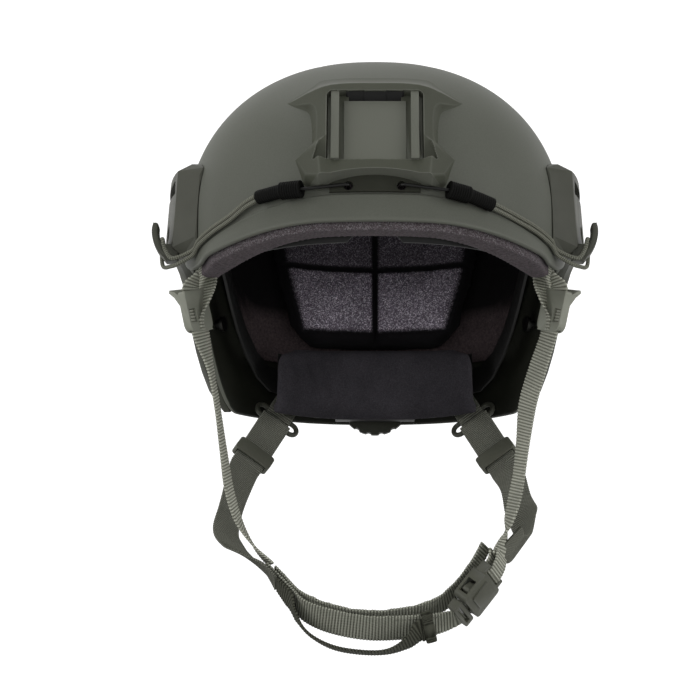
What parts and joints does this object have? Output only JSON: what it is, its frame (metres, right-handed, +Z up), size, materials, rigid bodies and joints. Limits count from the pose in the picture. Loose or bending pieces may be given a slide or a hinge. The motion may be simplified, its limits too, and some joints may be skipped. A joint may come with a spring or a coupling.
{
  "type": "combat helmet",
  "caption": "Padded high-cut combat helmet with front accessory mount, side rails with bungees, rear fit dial and adjustable chin strap with side-release buckle.",
  "frame": {"origin": "centre of the head band's ring, on the level of the dome's greatest width", "axes": "+Z up through the crown, -Y forward through the brow, +X to the viewer's right from the front"},
  "size_m": [0.2466, 0.2768, 0.3384],
  "materials": {
    "black_nylon": "satin moulded nylon",
    "black_pad_cloth": "brushed knit over foam",
    "black_screws": "black oxide",
    "buckle_plastic": "satin moulded acetal",
    "coated_wire": "olive coated wire",
    "elastic_cord": "braided sheath over elastic",
    "gasket_rubber": "matte moulded rubber",
    "grey_pad_cloth": "brushed knit over foam",
    "mauve_felt": "brushed loop felt",
    "mount_plastic": "satin moulded polymer",
    "olive_plastic": "satin moulded nylon",
    "pale_plastic": "satin moulded acetal",
    "plated_steel": "dull zinc plated",
    "rail_plastic": "fine moulded grain",
    "shell_coat": "matte sprayed coating over a moulded composite shell",
    "sleeve_rubber": "ribbed matte rubber",
    "webbing": "ribbed flat weave"
  },
  "bodies": {
    "helmet": {"shell": "shell_coat", "front_mount": "mount_plastic", "mount_seat": "mount_plastic", "mount_gasket": "gasket_rubber", "mount_screws": "plated_steel", "rail_left": "rail_plastic", "rail_right": "rail_plastic", "rail_screws_left": "black_screws", "rail_screws_right": "black_screws", "bungee_left": "elastic_cord", "bungee_right": "elastic_cord", "bungee_sleeve_left": "sleeve_rubber", "bungee_sleeve_right": "sleeve_rubber", "bungee_hook_left": "plated_steel", "bungee_hook_right": "plated_steel", "lining": "mauve_felt", "brow_foam": "mauve_felt", "headband": "black_nylon", "brow_pad": "black_pad_cloth", "crown_pad": "grey_pad_cloth", "side_pad_left": "black_pad_cloth", "side_pad_right": "black_pad_cloth", "nape_cradle": "black_nylon", "nape_pad": "grey_pad_cloth", "nape_screws": "black_screws", "dial_housing": "black_nylon", "front_strap_left": "webbing", "front_strap_right": "webbing", "nape_tab_left": "webbing", "nape_tab_right": "webbing", "nape_ring_left": "coated_wire", "nape_ring_right": "coated_wire", "rear_loop_left": "webbing", "rear_loop_right": "webbing", "rear_strap_left": "webbing", "rear_strap_right": "webbing", "chin_backing": "webbing", "chin_strap": "webbing", "chin_tail": "webbing", "buckle_housing": "buckle_plastic", "buckle_tab": "webbing"},
    "dial": {"dial_knob": "olive_plastic", "dial_pinion": "black_nylon"},
    "left_rack": {"rack_left": "black_nylon"},
    "right_rack": {"rack_right": "black_nylon"},
    "front_left_slider": {"front_slider_left": "pale_plastic"},
    "front_right_slider": {"front_slider_right": "pale_plastic"},
    "rear_left_slider": {"rear_slider_left": "buckle_plastic"},
    "rear_right_slider": {"rear_slider_right": "buckle_plastic"},
    "buckle_half": {"buckle_insert": "buckle_plastic", "chin_keeper": "webbing"},
    "upper_prong": {"buckle_prong_upper": "buckle_plastic"},
    "lower_prong": {"buckle_prong_lower": "buckle_plastic"}
  },
  "joints": [
    {"name": "dial_turn", "type": "hinge", "parent": "helmet", "child": "dial", "pos_m": [0, 0.112, -0.0715], "axis": [0, 1, 0], "range_deg": [0, 65]},
    {"name": "left_rack_slide", "type": "slide", "parent": "helmet", "child": "left_rack", "axis": [1, 0, 0], "range_m": [0, 0.0069]},
    {"name": "right_rack_slide", "type": "slide", "parent": "helmet", "child": "right_rack", "axis": [-1, 0, 0], "range_m": [0, 0.0069]},
    {"name": "front_left_slider_slide", "type": "slide", "parent": "helmet", "child": "front_left_slider", "axis": [0.2183, 0.1628, -0.9622], "range_m": [0, 0.002]},
    {"name": "front_right_slider_slide", "type": "slide", "parent": "helmet", "child": "front_right_slider", "axis": [-0.2183, 0.1628, -0.9622], "range_m": [0, 0.002]},
    {"name": "rear_left_slider_slide", "type": "slide", "parent": "helmet", "child": "rear_left_slider", "axis": [0.3637, 0.6152, 0.6994], "range_m": [0, 0.004]},
    {"name": "rear_right_slider_slide", "type": "slide", "parent": "helmet", "child": "rear_right_slider", "axis": [-0.3637, 0.6152, 0.6994], "range_m": [0, 0.004]},
    {"name": "buckle_release", "type": "slide", "parent": "helmet", "child": "buckle_half", "axis": [-0.6164, -0.0362, -0.7866], "range_m": [0, 0.018], "deforming": ["buckle_prong_upper", "buckle_prong_lower", "chin_strap", "chin_tail"]},
    {"name": "upper_prong_press", "type": "hinge", "parent": "buckle_half", "child": "upper_prong", "pos_m": [0.05177, -0.0019, -0.21187], "axis": [0.7157, -0.4422, -0.5405], "range_deg": [0, 9], "stiffness_Nm_per_rad": 0.3},
    {"name": "lower_prong_press", "type": "hinge", "parent": "buckle_half", "child": "lower_prong", "pos_m": [0.04823, -0.01158, -0.20865], "axis": [-0.7157, 0.4422, 0.5405], "range_deg": [0, 9], "stiffness_Nm_per_rad": 0.3}
  ],
  "couplings": [
    {"joint": "left_rack_slide", "follows": "dial_turn", "m_per_rad": 0.006},
    {"joint": "right_rack_slide", "follows": "dial_turn", "m_per_rad": 0.006}
  ]
}
